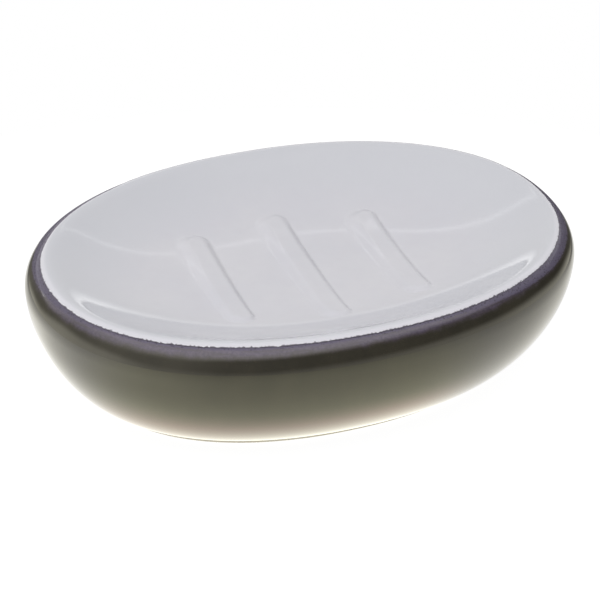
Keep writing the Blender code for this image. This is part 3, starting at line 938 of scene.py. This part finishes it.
# The room as the gloss sees it, by degrees round from straight behind the dish: how bright it
# is low down, where the dark part starts and over how many degrees, how bright that is,
# and where and over how many degrees it ends
ROOM = (
    (-180, 0.66, -2, 20, 0.33, 42, 16), (-150, 0.80, 3, 20, 0.56, 33, 14),
    (-120, 1.28, 11, 18, 0.62, 31, 12), (-90, 1.30, 12, 16, 0.52, 30, 12),
    (-60, 0.98, -6, 12, 0.32, 12, 6), (-30, 0.90, -18, 4, 0.17, 3, 1.5),
    (0, 0.90, -20, 4, 0.12, 2.8, 1.5), (30, 0.90, -17, 6, 0.10, 8, 2),
    (60, 0.90, -5, 16, 0.09, 22, 8), (90, 1.00, 3, 18, 0.17, 41, 14),
    (120, 0.80, 6, 18, 0.20, 48, 16), (150, 0.66, 3, 20, 0.24, 45, 16),
    (180, 0.66, -2, 20, 0.33, 42, 16),
)


def room_at(degrees):
    for before, after in zip(ROOM, ROOM[1:]):
        if degrees <= after[0]:
            share = smooth((degrees - before[0]) / (after[0] - before[0]))
            return [a + (b - a) * share for a, b in zip(before[1:], after[1:])]
    return ROOM[-1][1:]


def room_glow(degrees, up):
    low_glow, low, low_fade, dark, high, high_fade = room_at(degrees)
    over = smooth((abs(degrees) - 50) / 50)
    above = 0.85 + 0.15 * smooth((up - high) / 20) + 0.5 * over * smooth((up - 30) / 24)
    level = low_glow + (dark - low_glow) * smooth((up - low) / low_fade + 0.5)
    return level + (above - level) * smooth((up - high) / high_fade + 0.5)


def dome(work, radius, degrees, heights, level):
    """Part of a dome round the dish, whose glow is asked for each direction and height."""
    glow = work.verts.layers.float.new("glow")
    behind = math.atan2(-CAMERA_SIDE.y, -CAMERA_SIDE.x)
    last = None
    for turn in degrees:
        column = []
        for up in heights(turn):
            angle, tilt = behind - math.radians(turn), math.radians(up)
            vert = work.verts.new((radius * math.cos(angle) * math.cos(tilt),
                                   radius * math.sin(angle) * math.cos(tilt),
                                   radius * math.sin(tilt) + 0.03))
            vert[glow] = level(turn, up)
            column.append(vert)
        if last:
            for i in range(len(column) - 1):
                work.faces.new([last[i], column[i], column[i + 1], last[i + 1]])
        last = column


def make_room():
    """The room that the gloss shows all round, a bright edge high behind and a thin one where
    the dark part ends."""
    def walls(work):
        heights = [*range(-24, 60), *range(60, 91, 3)]
        dome(work, 1.2, range(-180, 181, 5), lambda turn: heights, room_glow)

    def high_edge(work):
        dome(work, 1.1, range(-60, 61, 5), lambda turn: (37.6, 38.4), lambda turn, up: 2.5)

    def low_edge(work):
        def heights(turn):
            return [room_at(turn)[4] + over for over in (0.2, 1.2, 3.2, 6.0)]

        def level(turn, up):
            return 0.95 + 1.15 * (1 - smooth((up - room_at(turn)[4]) / 6))
        dome(work, 1.15, range(-60, 61, 5), heights, level)

    only_in_gloss(stage_mesh("room", walls, glowing("room", (1.0, 0.985, 0.965, 1))))
    only_in_gloss(stage_mesh("high_edge", high_edge, glowing("high_edge", (1, 1, 1, 1))))
    only_in_gloss(stage_mesh("low_edge", low_edge, glowing("low_edge", (1, 1, 1, 1))))


def softbox(name, centre, facing, width, height, level, colour):
    """A flat lamp at a centre, turned as given, whose face glows at a level (1 is white)."""
    data = bpy.data.lights.new(name, "AREA")
    data.shape = "RECTANGLE"
    data.size = width
    data.size_y = height
    data.energy = level * math.pi * width * height
    data.color = colour
    lamp = bpy.data.objects.new(name, data)
    bpy.context.scene.collection.objects.link(lamp)
    lamp.location = centre
    lamp.rotation_mode = "QUATERNION"
    lamp.rotation_quaternion = facing
    lamp.visible_camera = False
    lamp.visible_glossy = False


def make_lamps():
    """A broad softbox overhead on the camera's side, and a soft fill from the left."""
    over = CAMERA_SIDE * 0.29 + 0.9 * UP
    across = Euler((0.0, 0.0, math.atan2(CAMERA_SIDE.y, CAMERA_SIDE.x) + math.pi / 2))
    softbox("softbox", over, across.to_quaternion(), 2.2, 0.92, 1.545, (0.97, 0.975, 1.0))
    left = Vector((-0.75, 0.05, 0.75))
    away = (left - 0.02 * UP).to_track_quat("Z", "Y")
    softbox("left_fill", left, away, 0.8, 0.8, 0.95, (0.99, 0.985, 0.99))


def make_world():
    """White to the camera and in gloss, and a soft fill for everything else."""
    world = bpy.data.worlds.new("white_room")
    bpy.context.scene.world = world
    world.use_nodes = True
    bench = Bench(world.node_tree)
    bench.tree.nodes.clear()
    rays = bench.add("ShaderNodeLightPath").outputs
    seen = bench.total(rays["Is Camera Ray"], rays["Is Glossy Ray"], rays["Is Transmission Ray"])
    strength = bench.total(bench.product(bench.math("MINIMUM", seen, 1.0), 0.84), 0.16)
    sky = bench.add("ShaderNodeBackground", (1, 1, 1, 1), strength)
    bench.add("ShaderNodeOutputWorld", sky.outputs[0])


def make_camera():
    """The photograph's view: from the front left, looking down."""
    data = bpy.data.cameras.new("camera")
    data.lens = 117.99
    data.sensor_width = 36.0
    data.clip_start = 0.01
    data.clip_end = 20.0
    camera = bpy.data.objects.new("camera", data)
    bpy.context.scene.collection.objects.link(camera)
    back = CAMERA_SIDE * math.cos(CAMERA_ELEVATION) + UP * math.sin(CAMERA_ELEVATION)
    camera.location = Vector((-0.91 * MM, 0.0, 16.75 * MM)) + 0.5 * back
    camera.rotation_mode = "QUATERNION"
    camera.rotation_quaternion = (-back).to_track_quat("-Z", "Y")
    bpy.context.scene.camera = camera


bpy.context.scene.view_settings.view_transform = "Standard"
make_dish()
make_floor()
make_room()
make_lamps()
make_world()
make_camera()
boxes = {"cad": cad_box, "scene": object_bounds()}
{key: [list(corner) for corner in box] for key, box in boxes.items()}
